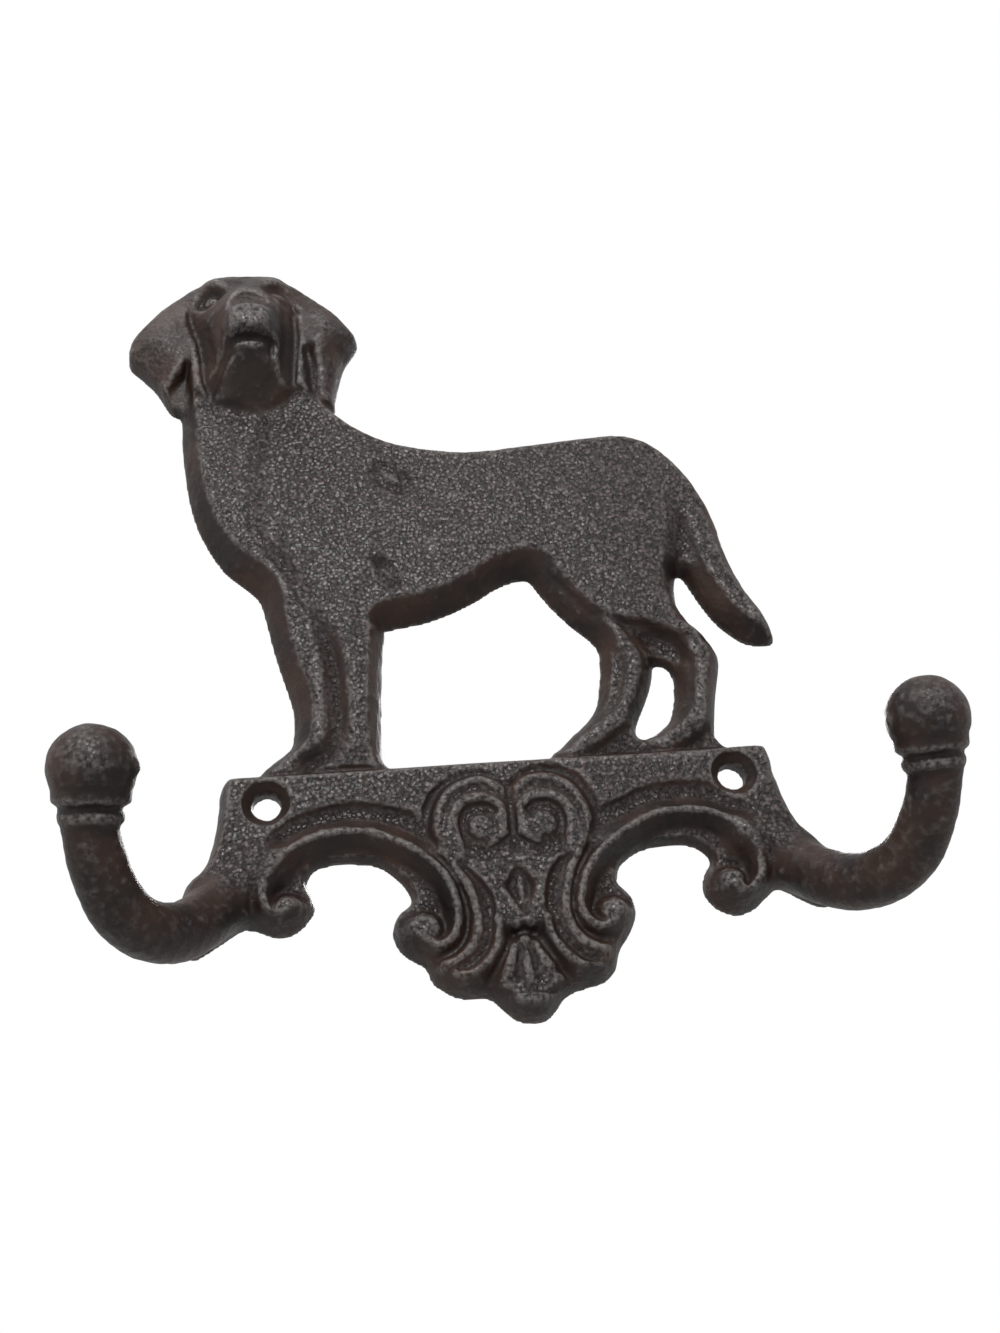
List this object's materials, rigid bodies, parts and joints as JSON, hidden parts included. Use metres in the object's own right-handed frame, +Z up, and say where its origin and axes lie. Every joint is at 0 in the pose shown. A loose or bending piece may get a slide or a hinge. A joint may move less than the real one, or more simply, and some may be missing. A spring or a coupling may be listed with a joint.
{
  "type": "double wall hook",
  "caption": "Cast-iron wall hook: a standing dog in relief on a scrolled back plate, with two upturned arms that end in balls.",
  "frame": {"origin": "midway between the two screw holes, on the flat back that lies on the wall", "axes": "+Z up, +X to the right as seen from the front, -Y out from the wall towards the viewer"},
  "size_m": [0.155, 0.0436, 0.171],
  "materials": {
    "iron": "dark brown-black painted casting, grainy, satin, with paler worn high spots"
  },
  "bodies": {
    "root": {"hook_casting": "iron"}
  },
  "joints": []
}
